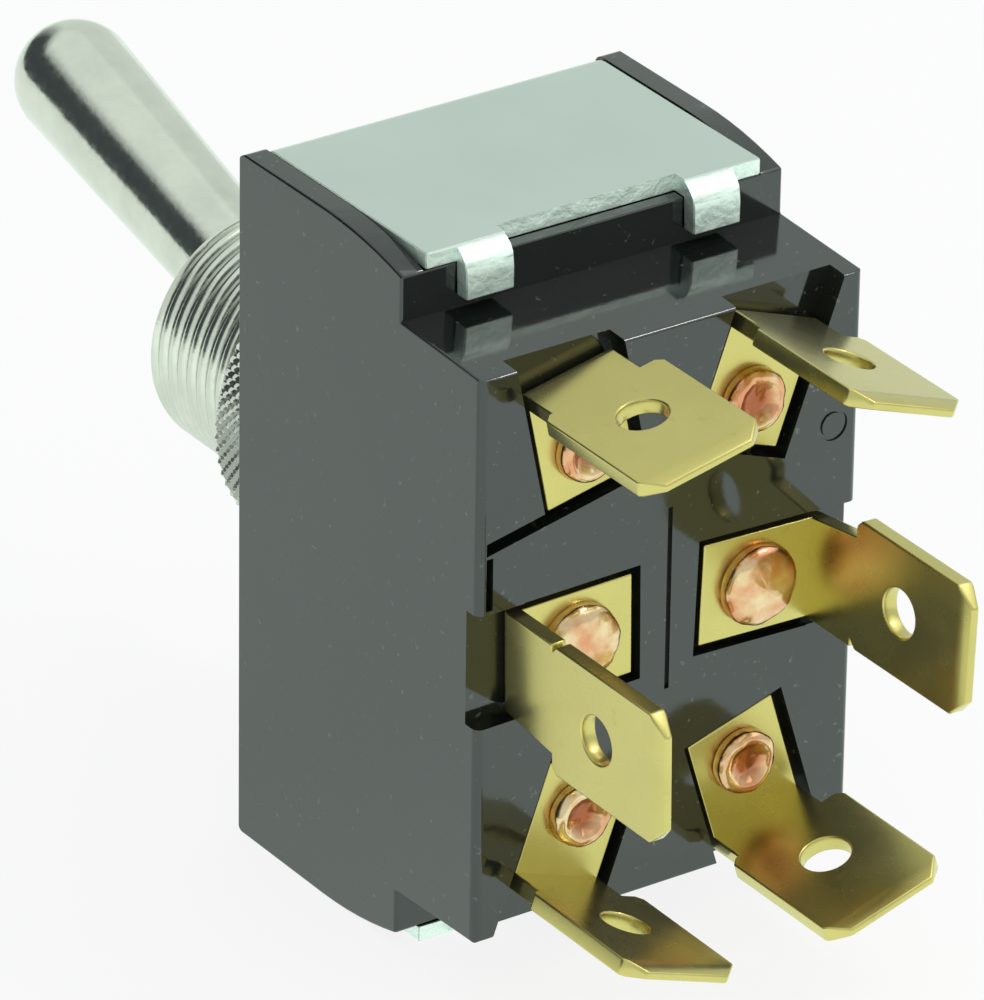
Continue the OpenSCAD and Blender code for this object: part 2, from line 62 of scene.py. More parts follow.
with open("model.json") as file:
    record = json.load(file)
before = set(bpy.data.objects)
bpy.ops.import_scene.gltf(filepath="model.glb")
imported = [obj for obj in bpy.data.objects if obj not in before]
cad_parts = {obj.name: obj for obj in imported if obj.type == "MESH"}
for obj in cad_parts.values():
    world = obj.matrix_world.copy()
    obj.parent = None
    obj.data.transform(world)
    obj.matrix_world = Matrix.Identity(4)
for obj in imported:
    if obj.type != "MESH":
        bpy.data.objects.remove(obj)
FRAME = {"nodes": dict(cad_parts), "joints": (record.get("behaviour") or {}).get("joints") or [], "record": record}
NODES = FRAME["nodes"]
JOINTS = {joint["name"]: joint for joint in FRAME["joints"]}
CAD_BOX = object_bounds()
BODY = {node: body for body, members in FRAME["record"]["behaviour"]["bodies"].items()
        for node in members}
SIDES = ("left", "right")
ROWS = ("top", "middle", "bottom")

MM = 0.001
# The least distance that matters: how near the axis a turned piece closes
HAIR = 0.004 * MM
PIVOT_Y = JOINTS["lever_tilt"]["pos_m"][1]
# How far the lever leans at rest
LEVER_TILT = math.radians(16)


# ---------------------------------------------------------------- properties
def length(name, description, default, low, high):
    """A length that can be set, with its values in millimetres."""
    return bpy.props.FloatProperty(
        name=name, description=description, default=default * MM, min=low * MM, max=high * MM,
        subtype="DISTANCE", unit="LENGTH")


def colour(name, description, default):
    """A colour that can be set."""
    return bpy.props.FloatVectorProperty(
        name=name, description=description, default=default, subtype="COLOR", size=3,
        min=0, max=1)


class SwitchSizes(bpy.types.PropertyGroup):
    """Sizes of the dressed pieces."""

    case_edge: length("Case edge", "Rounding of the case's outer edges", 0.16, 0.05, 0.4)
    case_step: length("Case step", "Where the case narrows behind the steel frame",
                      12.9, 12, 13.2)
    case_rear_half: length("Rear block", "Half the length of the case's rear block",
                           14.1, 13.8, 14.4)
    case_ear: length("Ear flat", "Where the case's side ears begin to slope", 7.0, 6, 8)
    steel_edge: length("Steel edge", "Rounding of the sheared steel edges", 0.09, 0.02, 0.2)
    blade_edge: length("Blade edge", "Rounding of the stamped brass edges", 0.1, 0.02, 0.2)
    hex_edge: length("Hexagon edge", "Rounding of the hexagon nut's edges", 0.12, 0.02, 0.2)
    washer_edge: length("Washer edge", "Rounding of the washer's edges", 0.06, 0.02, 0.1)
    thread_pitch: length("Thread pitch", "Pitch of the bushing's thread", 0.794, 0.5, 1.5)
    thread_radius: length("Thread radius", "Outer radius of the bushing's thread", 5.95, 5, 7)
    keyway_width: length("Keyway", "Width of the keyway along the thread", 1.8, 1.2, 2.4)
    knurl_depth: length("Knurl depth", "How deep the ring nut is knurled", 0.26, 0.1, 0.4)
    knurl_count: bpy.props.IntProperty(
        name="Knurl count", description="Number of knurl ridges round the ring nut",
        default=72, min=36, max=120)


class SwitchColours(bpy.types.PropertyGroup):
    """Base colours of the finishes."""

    case: colour("Case", "Black moulding compound", (0.006, 0.0072, 0.0072))
    zinc: colour("Zinc", "Zinc plated steel", (0.60, 0.66, 0.63))
    brass: colour("Brass", "Plain yellow brass", (0.57, 0.482, 0.16))
    copper: colour("Copper", "Copper of the rivets", (0.72, 0.44, 0.26))
    nickel: colour("Nickel", "Nickel plating of the lever and bushing", (0.66, 0.66, 0.60))


# ---------------------------------------------------------------- mesh helpers
def object_mode():
    """Leaves edit mode, where a piece is being edited."""
    if bpy.context.object and bpy.context.object.mode != "OBJECT":
        bpy.ops.object.mode_set(mode="OBJECT")


def deselect():
    """Leaves edit mode with nothing selected."""
    object_mode()
    bpy.ops.object.select_all(action="DESELECT")


def activate(obj):
    """Makes a piece the only one selected."""
    deselect()
    obj.select_set(True)
    bpy.context.view_layer.objects.active = obj


def edit_all(obj):
    """Enters edit mode with the whole piece selected."""
    activate(obj)
    bpy.ops.object.mode_set(mode="EDIT")
    bpy.ops.mesh.select_all(action="SELECT")


def settle(obj):
    """Puts the place of a piece into its mesh."""
    activate(obj)
    bpy.ops.object.transform_apply(location=True, rotation=True, scale=True)


def lay_along_y(obj, tilt=0.0, pivot_y=0.0):
    """Turns a piece made along +Z so that it runs along +Y, tilted about the pivot."""
    obj.rotation_euler = (math.radians(-90) - tilt, 0, 0)
    obj.location = (0, pivot_y, 0)
    settle(obj)


def apply_modifier(obj, kind, **values):
    """Adds a modifier with these values and applies it."""
    activate(obj)
    mod = obj.modifiers.new(kind.lower(), kind)
    for key, value in values.items():
        setattr(mod, key, value)
    bpy.ops.object.modifier_apply(modifier=mod.name)


def smooth(obj, angle):
    """Smooth shading across edges that bend less than the angle, in degrees."""
    activate(obj)
    bpy.ops.object.shade_smooth_by_angle(angle=math.radians(angle))


def keep_flats(obj, angle):
    """Smooth shading that leaves the large faces flat."""
    smooth(obj, angle)
    apply_modifier(obj, "WEIGHTED_NORMAL", mode="FACE_AREA", weight=50, keep_sharp=True)


def carve(obj, tool, operation="DIFFERENCE"):
    """Cuts a piece by another, which is used up."""
    apply_modifier(obj, "BOOLEAN", operation=operation, object=tool, solver="EXACT")
    bpy.data.objects.remove(tool)


def block(size, spot):
    """A plain box about a spot."""
    deselect()
    bpy.ops.mesh.primitive_cube_add(size=1, location=spot)
    obj = bpy.context.object
    obj.scale = size
    settle(obj)
    return obj


def loose_copy(node, name):
    """A copy of a frame node by itself, without its parent, marks and materials."""
    obj = NODES[node].copy()
    obj.data = NODES[node].data.copy()
    obj.parent = None
    for key in list(obj.keys()):
        del obj[key]
    obj.name = obj.data.name = name
    obj.data.materials.clear()
    bpy.context.scene.collection.objects.link(obj)
    return obj


def copy_of_node(node, name):
    """A merged copy of a frame node, with its flat faces joined."""
    deselect()
    obj = loose_copy(node, name)
    activate(obj)
    bpy.ops.mesh.customdata_custom_splitnormals_clear()
    edit_all(obj)
    bpy.ops.mesh.remove_doubles(threshold=0.003 * MM)
    bpy.ops.mesh.mark_sharp(clear=True)
    bpy.ops.mesh.dissolve_limited(angle_limit=math.radians(0.8))
    object_mode()
    return obj


def round_edges(obj, width, segments=2, angle=32.0, nook_reach=0.0):
    """Rounds the outer edges, but no short edge within nook_reach of an inner corner."""
    sharp = math.radians(angle)
    weight = obj.data.attributes.new("bevel_weight_edge", "FLOAT", "EDGE")
    solid = bmesh.new()
    solid.from_mesh(obj.data)
    bends = {e.index: e.calc_face_angle_signed() for e in solid.edges if len(e.link_faces) == 2}
    nooks = [v.co.copy() for e in solid.edges if bends.get(e.index, 0) < -sharp for v in e.verts]
    for edge in solid.edges:
        if bends.get(edge.index, 0) < sharp:
            continue
        middle = (edge.verts[0].co + edge.verts[1].co) / 2
        reach = nook_reach if edge.calc_length() < 2 * nook_reach else 0
        if all((middle - nook).length > reach for nook in nooks):
            weight.data[edge.index].value = 1.0
    solid.free()
    apply_modifier(obj, "BEVEL", width=width, segments=segments, limit_method="WEIGHT",
                   use_clamp_overlap=False, loop_slide=False, offset_type="OFFSET")
    keep_flats(obj, 50)


def turned(name, stations, around=96):
    """A turned piece along +Z: a ring is extruded and scaled from station to station (r, z)."""
    r, z = stations[0]
    deselect()
    bpy.ops.mesh.primitive_circle_add(vertices=around, radius=r, fill_type="NOTHING",
                                      location=(0, 0, z))
    obj = bpy.context.object
    obj.name = obj.data.name = name
    bpy.ops.object.mode_set(mode="EDIT")
    bpy.ops.mesh.select_all(action="SELECT")
    for r1, z1 in stations[1:]:
        bpy.ops.mesh.extrude_region_move(TRANSFORM_OT_translate={"value": (0, 0, z1 - z)})
        bpy.ops.transform.resize(value=(r1 / r, r1 / r, 1), center_override=(0, 0, z1))
        r, z = r1, z1
    bpy.ops.mesh.select_all(action="SELECT")
    bpy.ops.mesh.remove_doubles(threshold=0.012 * MM)
    bpy.ops.mesh.normals_make_consistent(inside=False)
    object_mode()
    settle(obj)
    return obj


def stations_of_arc(radius, centre_z, start, stop, steps):
    """Stations along a round end, angles in degrees from the +Z pole."""
    found = []
    for i in range(steps + 1):
        a = math.radians(start + (stop - start) * i / steps)
        found.append((max(radius * math.sin(a), HAIR), centre_z + radius * math.cos(a)))
    return found


def finish_piece(obj, node, material):
    """Gives a piece its material and puts it in the place of its frame node."""
    obj.data.materials.clear()
    obj.data.materials.append(material)
    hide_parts(node)
    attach(obj, BODY[node])


# ---------------------------------------------------------------- shader helpers
# Sockets of a colour mix: its mask, the colours at 0 and at 1, and what comes out
MASK, LOW, HIGH, MIXED = 0, 6, 7, 2


def socket(group, name, direction, kind, value=None):
    """Adds a socket to a node group."""
    made = group.interface.new_socket(name=name, in_out=direction, socket_type=kind)
    if value is not None:
        made.default_value = value


def mottle_group():
    """Cloudy and fine variation over a surface, on object coordinates."""
    name = "surface_mottle"
    if name in bpy.data.node_groups:
        return bpy.data.node_groups[name]
    group = bpy.data.node_groups.new(name, "ShaderNodeTree")
    socket(group, "Cloud Scale", "INPUT", "NodeSocketFloat", 300.0)
    socket(group, "Grain Scale", "INPUT", "NodeSocketFloat", 3000.0)
    socket(group, "Stretch", "INPUT", "NodeSocketVector", (1.0, 1.0, 1.0))
    socket(group, "Cloud", "OUTPUT", "NodeSocketFloat")
    socket(group, "Grain", "OUTPUT", "NodeSocketFloat")
    nodes, links = group.nodes, group.links
    entry = nodes.new("NodeGroupInput")
    leave = nodes.new("NodeGroupOutput")
    place = nodes.new("ShaderNodeTexCoord")
    spread = nodes.new("ShaderNodeVectorMath")
    spread.operation = "MULTIPLY"
    links.new(place.outputs["Object"], spread.inputs[0])
    links.new(entry.outputs["Stretch"], spread.inputs[1])
    for scale, out, detail in (("Cloud Scale", "Cloud", 4.0), ("Grain Scale", "Grain", 2.0)):
        noise = nodes.new("ShaderNodeTexNoise")
        noise.inputs["Detail"].default_value = detail
        noise.inputs["Roughness"].default_value = 0.55
        links.new(spread.outputs[0], noise.inputs["Vector"])
        links.new(entry.outputs[scale], noise.inputs["Scale"])
        links.new(noise.outputs["Fac"], leave.inputs[out])
    return group


def shader(name, metallic=0.0):
    """A fresh material, with its nodes, its links and its main shader."""
    if name in bpy.data.materials:
        bpy.data.materials.remove(bpy.data.materials[name])
    material = bpy.data.materials.new(name)
    material.use_nodes = True
    nodes = material.node_tree.nodes
    bsdf = nodes["Principled BSDF"]
    bsdf.inputs["Metallic"].default_value = metallic
    return material, nodes, material.node_tree.links, bsdf


def mottle(nodes, **values):
    """Places the mottle group in a material."""
    node = nodes.new("ShaderNodeGroup")
    node.node_tree = mottle_group()
    for key, value in values.items():
        node.inputs[key.replace("_", " ")].default_value = value
    return node


def axes_of(nodes, links, coordinates):
    """The X, Y and Z of one kind of texture coordinate."""
    place = nodes.new("ShaderNodeTexCoord")
    split = nodes.new("ShaderNodeSeparateXYZ")
    links.new(place.outputs[coordinates], split.inputs[0])
    return split.outputs


def two_tone(nodes, links, mask, low, high):
    """One colour where the mask is 0, and another where it is 1."""
    mix = nodes.new("ShaderNodeMix")
    mix.data_type = "RGBA"
    mix.inputs[LOW].default_value = (*low, 1)
    mix.inputs[HIGH].default_value = (*high, 1)
    links.new(mask, mix.inputs[MASK])
    return mix.outputs[MIXED]


def laid_over(nodes, links, base, mask, tone):
    """A plain colour laid over the base where the mask is 1."""
    mix = nodes.new("ShaderNodeMix")
    mix.data_type = "RGBA"
    mix.inputs[HIGH].default_value = (*tone, 1)
    links.new(base, mix.inputs[LOW])
    links.new(mask, mix.inputs[MASK])
    return mix.outputs[MIXED]


def maths(nodes, links, operation, *values):
    """A sum on shader values."""
    step = nodes.new("ShaderNodeMath")
    step.operation = operation
    for value, entry in zip(values, step.inputs):
        links.new(value, entry)
    return step.outputs[0]


def spread_of(nodes, links, value, low, high, start=0.3, stop=0.7):
    """Maps a value from start..stop to low..high, and keeps it in there."""
    ranged = nodes.new("ShaderNodeMapRange")
    ranged.inputs["From Min"].default_value = start
    ranged.inputs["From Max"].default_value = stop
    ranged.inputs["To Min"].default_value = low
    ranged.inputs["To Max"].default_value = high
    links.new(value, ranged.inputs["Value"])
    return ranged.outputs["Result"]


def relief(nodes, links, height, strength, distance, shader_node, below=None):
    """Lays a bump over the one below it, if any."""
    bump = nodes.new("ShaderNodeBump")
    bump.inputs["Strength"].default_value = strength
    bump.inputs["Distance"].default_value = distance
    links.new(height, bump.inputs["Height"])
    if below:
        links.new(below, bump.inputs["Normal"])
    links.new(bump.outputs["Normal"], shader_node.inputs["Normal"])
    return bump.outputs["Normal"]


def shade(tone, *factors):
    """A colour times one factor, or times one for each of its channels."""
    if len(factors) == 1:
        factors *= 3
    return tuple(min(1.0, c * factor) for c, factor in zip(tone, factors))


# ---------------------------------------------------------------- finishes
def moulded_black(tone):
    """Glossy black moulding compound with a few specks of dust."""
    material, nodes, links, bsdf = shader("moulded_black")
    bsdf.inputs["IOR"].default_value = 1.7
    flow = mottle(nodes, Cloud_Scale=160.0, Grain_Scale=5200.0)
    cloud = spread_of(nodes, links, flow.outputs["Cloud"], 0.0, 1.0)
    base = two_tone(nodes, links, cloud, shade(tone, 0.8), shade(tone, 1.5))
    specks = mottle(nodes, Cloud_Scale=900.0, Grain_Scale=2600.0)
    dust = spread_of(nodes, links, specks.outputs["Grain"], 0.0, 0.7, 0.68, 0.76)
    links.new(laid_over(nodes, links, base, dust, shade(tone, 16.0)), bsdf.inputs["Base Color"])
    # the side walls are drawn to a dull grain, the rest is polished
    across = maths(nodes, links, "ABSOLUTE", axes_of(nodes, links, "Normal")["X"])
    dull = spread_of(nodes, links, across, 0.0, 0.2, 0.7, 0.98)
    gloss = spread_of(nodes, links, flow.outputs["Cloud"], 0.045, 0.11)
    links.new(maths(nodes, links, "ADD", dull, gloss), bsdf.inputs["Roughness"])
    wave = relief(nodes, links, flow.outputs["Cloud"], 0.35, 0.03 * MM, bsdf)
    relief(nodes, links, flow.outputs["Grain"], 0.08, 0.01 * MM, bsdf, wave)
    return material


def zinc_steel(tone):
    """Zinc plated sheet, rough on its sheared edges and curled ends, which are also lightened as a painted
    highlight.
    """
    material, nodes, links, bsdf = shader("zinc_steel", metallic=1.0)
    flow = mottle(nodes, Cloud_Scale=130.0, Grain_Scale=4200.0, Stretch=(1.0, 0.6, 0.6))
    cloud = spread_of(nodes, links, flow.outputs["Cloud"], 0.0, 1.0)
    facing = axes_of(nodes, links, "Normal")
    across = maths(nodes, links, "ABSOLUTE", facing["X"])
    torn_with_painted_highlight = spread_of(nodes, links, maths(nodes, links, "MAXIMUM", across, facing["Y"]),
                     0.0, 1.0, 0.6, 0.9)
    plate = two_tone(nodes, links, cloud, shade(tone, 0.96), shade(tone, 1.03))
    # painted highlight: faces turned sideways or to the back are lightened to 1.4 times the zinc's colour; the
    # same mask also makes them rough and torn
    links.new(laid_over(nodes, links, plate, torn_with_painted_highlight, shade(tone, 1.4)), bsdf.inputs["Base Color"])
    gloss = spread_of(nodes, links, flow.outputs["Cloud"], 0.2, 0.27)
    rough = spread_of(nodes, links, torn_with_painted_highlight, 0.0, 0.3, 0.0, 1.0)
    links.new(maths(nodes, links, "ADD", gloss, rough), bsdf.inputs["Roughness"])
    wave = relief(nodes, links, flow.outputs["Cloud"], 0.3, 0.02 * MM, bsdf)
    grain = relief(nodes, links, flow.outputs["Grain"], 0.1, 0.006 * MM, bsdf, wave)
    tears = mottle(nodes, Cloud_Scale=1500.0, Grain_Scale=2600.0)
    height = maths(nodes, links, "MULTIPLY", tears.outputs["Cloud"], torn_with_painted_highlight)
    relief(nodes, links, height, 0.9, 0.12 * MM, bsdf, grain)
    return material


def plain_brass(tone):
    """Rolled brass with spots of tarnish under a dull film."""
    material, nodes, links, bsdf = shader("plain_brass", metallic=1.0)
    flow = mottle(nodes, Cloud_Scale=240.0, Grain_Scale=5200.0, Stretch=(1.0, 0.7, 1.0))
    cloud = spread_of(nodes, links, flow.outputs["Cloud"], 0.0, 1.0)
    base = two_tone(nodes, links, cloud, shade(tone, 0.92), shade(tone, 1.06))
    spots = mottle(nodes, Cloud_Scale=1100.0, Grain_Scale=9000.0)
    tarnish = spread_of(nodes, links, spots.outputs["Cloud"], 0.0, 0.4, 0.64, 0.8)
    links.new(laid_over(nodes, links, base, tarnish, shade(tone, 0.6, 0.5, 0.4)),
              bsdf.inputs["Base Color"])
    links.new(spread_of(nodes, links, flow.outputs["Cloud"], 0.22, 0.32),
              bsdf.inputs["Roughness"])
    bsdf.inputs["Coat Weight"].default_value = 0.5
    bsdf.inputs["Coat Roughness"].default_value = 0.6
    wave = relief(nodes, links, flow.outputs["Cloud"], 0.35, 0.02 * MM, bsdf)
    relief(nodes, links, flow.outputs["Grain"], 0.14, 0.008 * MM, bsdf, wave)
    return material


def headed_copper(tone):
    """Hammered copper, darker in the dished middle of a head."""
    material, nodes, links, bsdf = shader("headed_copper", metallic=1.0)
    flow = mottle(nodes, Cloud_Scale=700.0, Grain_Scale=3600.0)
    cloud = spread_of(nodes, links, flow.outputs["Cloud"], 0.0, 1.0, 0.35, 0.65)
    base = two_tone(nodes, links, cloud, shade(tone, 0.9, 0.62, 0.55),
                    shade(tone, 1.05, 1.3, 1.35))
    recess = nodes.new("ShaderNodeAttribute")
    recess.attribute_name = "recess"
    links.new(laid_over(nodes, links, base, recess.outputs["Fac"],
                        shade(tone, 0.5, 0.25, 0.2)), bsdf.inputs["Base Color"])
    links.new(spread_of(nodes, links, flow.outputs["Grain"], 0.14, 0.26),
              bsdf.inputs["Roughness"])
    relief(nodes, links, flow.outputs["Grain"], 0.25, 0.015 * MM, bsdf)
    return material


def nickel_plate(name, tone, roughness):
    """Bright nickel plating, as smooth as the roughness says."""
    material, nodes, links, bsdf = shader(name, metallic=1.0)
    flow = mottle(nodes, Cloud_Scale=500.0, Grain_Scale=3400.0)
    cloud = spread_of(nodes, links, flow.outputs["Cloud"], 0.0, 1.0)
    links.new(two_tone(nodes, links, cloud, shade(tone, 0.93), shade(tone, 1.05)),
              bsdf.inputs["Base Color"])
    links.new(spread_of(nodes, links, flow.outputs["Grain"], roughness * 0.8, roughness * 1.5),
              bsdf.inputs["Roughness"])
    relief(nodes, links, flow.outputs["Grain"], 0.45, 0.014 * MM, bsdf)
    return material


def plain_finish(name, tone, metallic, roughness):
    """A simple finish for a piece that hardly shows."""
    material, nodes, links, bsdf = shader(name, metallic)
    flow = mottle(nodes, Cloud_Scale=400.0, Grain_Scale=3000.0)
    cloud = spread_of(nodes, links, flow.outputs["Cloud"], 0.0, 1.0)
    links.new(two_tone(nodes, links, cloud, shade(tone, 0.88), shade(tone, 1.08)),
              bsdf.inputs["Base Color"])
    links.new(spread_of(nodes, links, flow.outputs["Grain"], roughness, roughness + 0.12),
              bsdf.inputs["Roughness"])
    relief(nodes, links, flow.outputs["Grain"], 0.2, 0.01 * MM, bsdf)
    return material


# ---------------------------------------------------------------- pieces
class SWITCH_OT_case(bpy.types.Operator):
    """Moulded case with rounded edges"""

    bl_idname = "switch.case"
    bl_label = "Case"

    def execute(self, context):
        obj = copy_of_node("housing", "case_shell")
        low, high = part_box("housing")
        carve(obj, self.envelope(low, high, context.scene.switch_sizes), "INTERSECT")
        keep_flats(obj, 30)
        tone = tuple(context.scene.switch_colours.case)
        finish_piece(obj, "housing", moulded_black(tone))
        return {"FINISHED"}

    def envelope(self, low, high, sizes):
        """The case's outline with its outer edges rounded, a hair larger than the case."""
        half, front, rear = high.z + HAIR, low.y - HAIR, high.y + HAIR
        step, back, ear = sizes.case_step + HAIR, sizes.case_rear_half + HAIR, sizes.case_ear
        drop, draft, parts = 0.8 * MM, 0.25 * MM, 6
        top = [(front, half)]
        top += [(ear + (step - ear) * i / parts, half - drop * (i / parts) ** 2)
                for i in range(parts + 1)]
        top += [(step, back), (rear, back - draft)]
        ring = top + [(y, -z) for y, z in reversed(top)]
        deselect()
        bpy.ops.mesh.primitive_circle_add(vertices=len(ring), fill_type="NGON")
        obj = bpy.context.object
        for vertex, (y, z) in zip(obj.data.vertices, ring):
            vertex.co = (low.x - HAIR, y, z)
        edit_all(obj)
        bpy.ops.mesh.extrude_region_move(
            TRANSFORM_OT_translate={"value": (high.x - low.x + 2 * HAIR, 0, 0)})
        bpy.ops.mesh.select_all(action="SELECT")
        bpy.ops.mesh.normals_make_consistent(inside=False)
        object_mode()
        settle(obj)
        apply_modifier(obj, "BEVEL", width=sizes.case_edge, segments=3, limit_method="ANGLE",
                       angle_limit=math.radians(35), use_clamp_overlap=False)
        return obj


class SWITCH_OT_steel_frame(bpy.types.Operator):
    """Zinc plated steel frame with its crimped tabs"""

    bl_idname = "switch.steel_frame"
    bl_label = "Steel frame"

    def execute(self, context):
        sizes, colours = context.scene.switch_sizes, context.scene.switch_colours
        obj = copy_of_node("frame_bracket", "frame_steel")
        round_edges(obj, sizes.steel_edge, segments=2, nook_reach=0.7 * MM)
        finish_piece(obj, "frame_bracket", zinc_steel(tuple(colours.zinc)))
        return {"FINISHED"}


class SWITCH_OT_bushing(bpy.types.Operator):
    """Nickel plated bushing with its rolled thread and keyway"""

    bl_idname = "switch.bushing"
    bl_label = "Bushing"
    # one tooth of the thread, as shares of its depth and of the pitch
    tooth = ((0.0, 0.0), (0.35, 0.1), (0.75, 0.22), (0.94, 0.35), (1.0, 0.5),
             (0.94, 0.65), (0.75, 0.78), (0.35, 0.9), (0.0, 1.0))
    depth_share = 0.56
    # where the thread ends and the plain barrel under the nuts begins
    thread_end = -6.25 * MM
    around = 128

    def execute(self, context):
        sizes = context.scene.switch_sizes
        low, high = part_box("bushing")
        front = low.y
        run = self.thread_end - front
        root = sizes.thread_radius - self.depth_share * sizes.thread_pitch
        obj = self.thread(sizes, root, run)
        self.run_out(obj, root, run)
        inside = self.inside(root, run, front, high.y - front)
        activate(obj)
        inside.select_set(True)
        bpy.ops.object.join()
        edit_all(obj)
        bpy.ops.mesh.remove_doubles(threshold=0.02 * MM)
        bpy.ops.mesh.normals_make_consistent(inside=False)
        object_mode()
        deep, short = 1.4 * MM, 0.6 * MM
        carve(obj, block((sizes.keyway_width, deep, run),
                         (0, sizes.thread_radius, (run - short) / 2)))
        self.seat_pin(obj, front)
        smooth(obj, 28)
        obj.location = (0, front, 0)
        obj.rotation_euler = (math.radians(-90), 0, 0)
        settle(obj)
        tone = tuple(context.scene.switch_colours.nickel)
        finish_piece(obj, "bushing", nickel_plate("nickel_turned", tone, 0.16))
        return {"FINISHED"}

    def thread(self, sizes, root, run):
        """One tooth wound round the axis and cut off square at both ends."""
        pitch = sizes.thread_pitch
        depth = self.depth_share * pitch
        tooth = [(root + part * depth, (along - 2) * pitch) for part, along in self.tooth]
        deselect()
        bpy.ops.mesh.primitive_plane_add(size=2 * sizes.thread_radius, location=(0, 0, 0))
        obj = bpy.context.object
        obj.name = obj.data.name = "bushing_thread"
        bpy.ops.object.mode_set(mode="EDIT")
        bpy.ops.mesh.select_all(action="SELECT")
        bpy.ops.mesh.merge(type="CENTER")
        bpy.ops.mesh.select_all(action="SELECT")
        bpy.ops.transform.translate(value=(tooth[0][0], 0, tooth[0][1]))
        for (r, z), (r1, z1) in zip(tooth, tooth[1:]):
            bpy.ops.mesh.extrude_vertices_move(
                TRANSFORM_OT_translate={"value": (r1 - r, 0, z1 - z)})
        object_mode()
        apply_modifier(obj, "SCREW", axis="Z", steps=self.around, render_steps=self.around,
                       screw_offset=pitch, iterations=int(run / pitch) + 4,
                       use_merge_vertices=True, merge_threshold=0.002 * MM)
        for z, clear in ((0.0, "inner"), (run, "outer")):
            edit_all(obj)
            bpy.ops.mesh.bisect(plane_co=(0, 0, z), plane_no=(0, 0, 1), use_fill=False,
                                clear_inner=clear == "inner", clear_outer=clear == "outer")
        object_mode()
        return obj

    def run_out(self, obj, root, run):
        """Lets the thread's ends run out into plain chamfers."""
        for vertex in obj.data.vertices:
            x, y, z = vertex.co
            radius = math.hypot(x, y)
            limit = root + min(z, (run - z) * 1.6) * 1.05
            if radius > limit or min(z, run - z) < 0.001 * MM:
                factor = min(limit, root) / radius if limit <= root else limit / radius
                vertex.co = (x * factor, y * factor, z)

    def inside(self, root, run, front, whole):
        """The plain inside, from the mouth to the staked rim and back to the thread's end."""
        mouth, throat, chamber = 4.75 * MM, 3.6 * MM, 4.0 * MM
        rim, neck, barrel = 5.75 * MM, 5.25 * MM, 5.68 * MM
        back = whole - 0.5 * MM
        return turned("bushing_inside", [
            (root, 0.0), (mouth + 0.12 * MM, 0.0), (mouth, 0.1 * MM), (throat, 4.0 * MM),
            (chamber, 5.6 * MM), (chamber, 12.2 * MM), (4.6 * MM, whole),
            (rim - 0.4 * MM, whole), (rim, whole - 0.2 * MM), (rim, back), (neck, back),
            (neck, -front), (barrel, -front), (barrel, run + 0.02 * MM), (root, run)],
            around=self.around)

    def seat_pin(self, obj, front):
        """Cuts the two round seats of the pivot pin and the slot that it was put in by."""
        pin_low, pin_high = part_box("lever_pin")
        radius = (pin_high.z - pin_low.z) / 2 + 0.05 * MM
        reach = pin_high.x - pin_low.x + 0.1 * MM
        slot_end = 3 * MM
        bpy.ops.mesh.primitive_cylinder_add(
            vertices=48, radius=radius, depth=reach, location=(0, 0, PIVOT_Y - front),
            rotation=(0, math.radians(90), 0))
        seats = bpy.context.object
        settle(seats)
        carve(obj, seats)
        carve(obj, block((reach, 2 * radius, slot_end - PIVOT_Y),
                         (0, 0, (PIVOT_Y + slot_end) / 2 - front)))


class SWITCH_OT_nuts(bpy.types.Operator):
    """Hexagon nut, lock washer and knurled ring nut"""

    bl_idname = "switch.nuts"
    bl_label = "Nuts"
    # how far the crossed ridges climb from one to the next
    lead = 0.62 * MM

    def execute(self, context):
        sizes = context.scene.switch_sizes
        nickel = nickel_plate("nickel_nut", tuple(context.scene.switch_colours.nickel), 0.24)
        hexagon = copy_of_node("hex_nut", "hex_nut_dressed")
        round_edges(hexagon, sizes.hex_edge, segments=2)
        finish_piece(hexagon, "hex_nut", nickel)
        washer = copy_of_node("lock_washer", "lock_washer_dressed")
        round_edges(washer, sizes.washer_edge, segments=1)
        finish_piece(washer, "lock_washer",
                     plain_finish("washer_plate", (0.55, 0.55, 0.53), 1.0, 0.3))
        low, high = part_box("ring_nut")
        ring = self.ring(high.x, high.y - low.y, sizes.knurl_count)
        self.knurl(ring, high.x, sizes)
        lay_along_y(ring, 0.0, low.y)
        smooth(ring, 24)
        finish_piece(ring, "ring_nut", nickel)
        return {"FINISHED"}

    def ring(self, outer, thick, count):
        """The plain ring, with rows of points on its rim for the knurl."""
        bore, land = 5.72 * MM, 6.2 * MM
        edge, lip, margin, rows = 0.3 * MM, 0.05 * MM, 0.45 * MM, 14
        stations = [(bore, 0.0), (land, 0.0), (outer - edge, 0.0), (outer - lip, edge)]
        stations += [(outer, margin + i * (thick - 2 * margin) / rows) for i in range(rows + 1)]
        stations += [(outer - lip, thick - edge), (outer - edge, thick), (land, thick),
                     (bore, thick - edge), (bore, 0.0)]
        return turned("ring_nut_knurled", stations, around=count * 4)

    def knurl(self, ring, outer, sizes):
        """Presses crossed ridges into the rim."""
        for vertex in ring.data.vertices:
            x, y, z = vertex.co
            radius = math.hypot(x, y)
            if radius < outer - 0.1 * MM:
                continue
            turn = math.atan2(y, x) * sizes.knurl_count / math.tau
            climb = z / self.lead
            one = abs((turn + climb) % 1.0 - 0.5) * 2
            two = abs((turn - climb) % 1.0 - 0.5) * 2
            sunk = outer - sizes.knurl_depth * max(1 - min(one, two) * 1.5, 0)
            vertex.co = (x * sunk / radius, y * sunk / radius, z)


